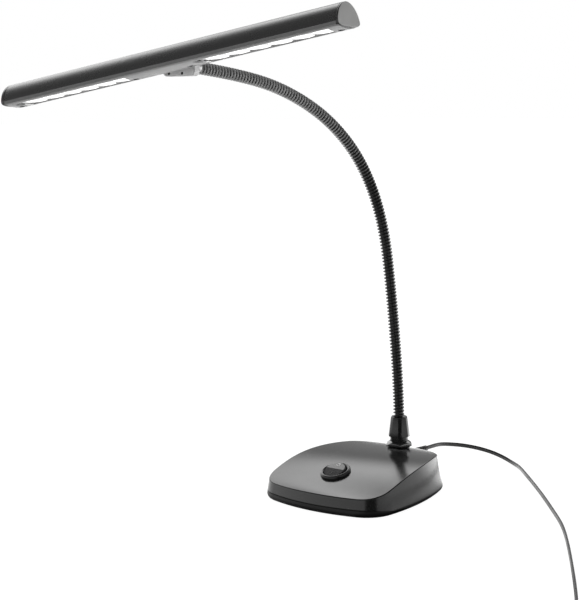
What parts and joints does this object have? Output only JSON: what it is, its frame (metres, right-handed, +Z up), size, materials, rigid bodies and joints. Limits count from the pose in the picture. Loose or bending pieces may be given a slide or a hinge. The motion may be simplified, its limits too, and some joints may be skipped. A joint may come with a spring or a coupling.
{
  "type": "piano lamp",
  "caption": "Desk or piano lamp: a slim LED bar head on a flexible metal neck, over a weighted wedge base with a round rocker switch and a mains cord.",
  "frame": {"origin": "on the table surface, under the middle of the base", "axes": "+Z up, -Y towards the front edge of the base (the switch side), +X to the right as seen from the front"},
  "size_m": [0.5789, 0.5165, 0.4603],
  "materials": {
    "casing": "satin, dark metallic grey",
    "tray": "satin black",
    "ballast_iron": "raw cast",
    "foot_rubber": "matt",
    "screw_steel": "blackened",
    "board_green": "lacquered",
    "spacer_brass": "turned",
    "switch_black": "fine grain",
    "rocker_black": "polished",
    "terminal_brass": "tinned",
    "neck_fitting": "semi-gloss black",
    "zinc_steel": "zinc plated",
    "neck_black": "semi-gloss black, ringed",
    "bright_steel": "turned bright",
    "bracket_grey": "satin",
    "bar_black": "satin black anodised",
    "cap_grey": "satin grey",
    "cover_grey": "satin grey",
    "reflector_white": "bright white",
    "lamp_white": "clear dome over phosphor",
    "board_white": "white solder mask",
    "cord_black": "satin",
    "plug_black": "fine grain",
    "pin_brass": "nickel plated"
  },
  "bodies": {
    "base": {"ballast": "ballast_iron", "base_cover": "casing", "base_screws": "screw_steel", "base_tray": "tray", "circuit_spacers": "spacer_brass", "cord": "cord_black", "cord_coil": "cord_black", "cord_tail": "cord_black", "gooseneck_1": "neck_black", "hex_collar": "neck_fitting", "inner_cord": "cord_black", "neck_bush": "neck_fitting", "neck_lock_nut": "zinc_steel", "neck_nut": "neck_fitting", "neck_washer": "zinc_steel", "plug_body": "plug_black", "plug_pins": "pin_brass", "power_board": "board_green", "rubber_feet": "foot_rubber", "strain_relief": "cord_black", "switch_housing": "switch_black", "switch_pivot": "zinc_steel", "switch_terminals": "terminal_brass"},
    "neck_2": {"gooseneck_2": "neck_black"},
    "neck_3": {"gooseneck_3": "neck_black"},
    "neck_4": {"gooseneck_4": "neck_black"},
    "neck_5": {"gooseneck_5": "neck_black"},
    "neck_6": {"gooseneck_6": "neck_black"},
    "neck_7": {"gooseneck_7": "neck_black", "head_ferrule": "bright_steel", "swivel_bracket": "bracket_grey", "bracket_screws": "screw_steel", "swivel_pin": "zinc_steel", "swivel_nut": "zinc_steel"},
    "head": {"head_housing": "bar_black", "end_cap_left": "cap_grey", "end_cap_right": "cap_grey", "underside_cover": "cover_grey", "cover_screws": "screw_steel", "led_board_left": "board_white", "led_board_right": "board_white", "leds_left": "lamp_white", "leds_right": "lamp_white", "reflector_left": "reflector_white", "reflector_right": "reflector_white"},
    "rocker": {"switch_rocker": "rocker_black"}
  },
  "joints": [
    {"name": "neck_bend_1", "type": "hinge", "parent": "base", "child": "neck_2", "pos_m": [-0.00053, 0.05984, 0.1458], "axis": [0.9903, -0.1392, 0], "range_deg": [-18, 18]},
    {"name": "neck_bend_2", "type": "hinge", "parent": "neck_2", "child": "neck_3", "pos_m": [-0.00193, 0.04988, 0.22875], "axis": [0.137, 0.975, 0.1751], "range_deg": [-15, 15]},
    {"name": "neck_bend_3", "type": "hinge", "parent": "neck_3", "child": "neck_4", "pos_m": [-0.00478, 0.02958, 0.2932], "axis": [-0.9903, 0.1392, 0], "range_deg": [-20, 20]},
    {"name": "neck_bend_4", "type": "hinge", "parent": "neck_4", "child": "neck_5", "pos_m": [-0.00976, -0.00587, 0.3436], "axis": [0.9903, -0.1392, 0], "range_deg": [-20, 20]},
    {"name": "neck_bend_5", "type": "hinge", "parent": "neck_5", "child": "neck_6", "pos_m": [-0.01669, -0.05513, 0.379], "axis": [-0.9903, 0.1392, 0], "range_deg": [-20, 20]},
    {"name": "neck_bend_6", "type": "hinge", "parent": "neck_6", "child": "neck_7", "pos_m": [-0.02459, -0.11138, 0.40025], "axis": [0.0329, 0.2338, 0.9717], "range_deg": [-20, 20]},
    {"name": "head_swivel", "type": "hinge", "parent": "neck_7", "child": "head", "pos_m": [-0.04604, -0.20114, 0.41495], "axis": [-0.1245, 0.9917, -0.031], "range_deg": [-35, 30]},
    {"name": "rocker_tilt", "type": "hinge", "parent": "base", "child": "rocker", "pos_m": [0, -0.04094, 0.02881], "axis": [1, 0, 0], "range_deg": [-18, 0]}
  ]
}
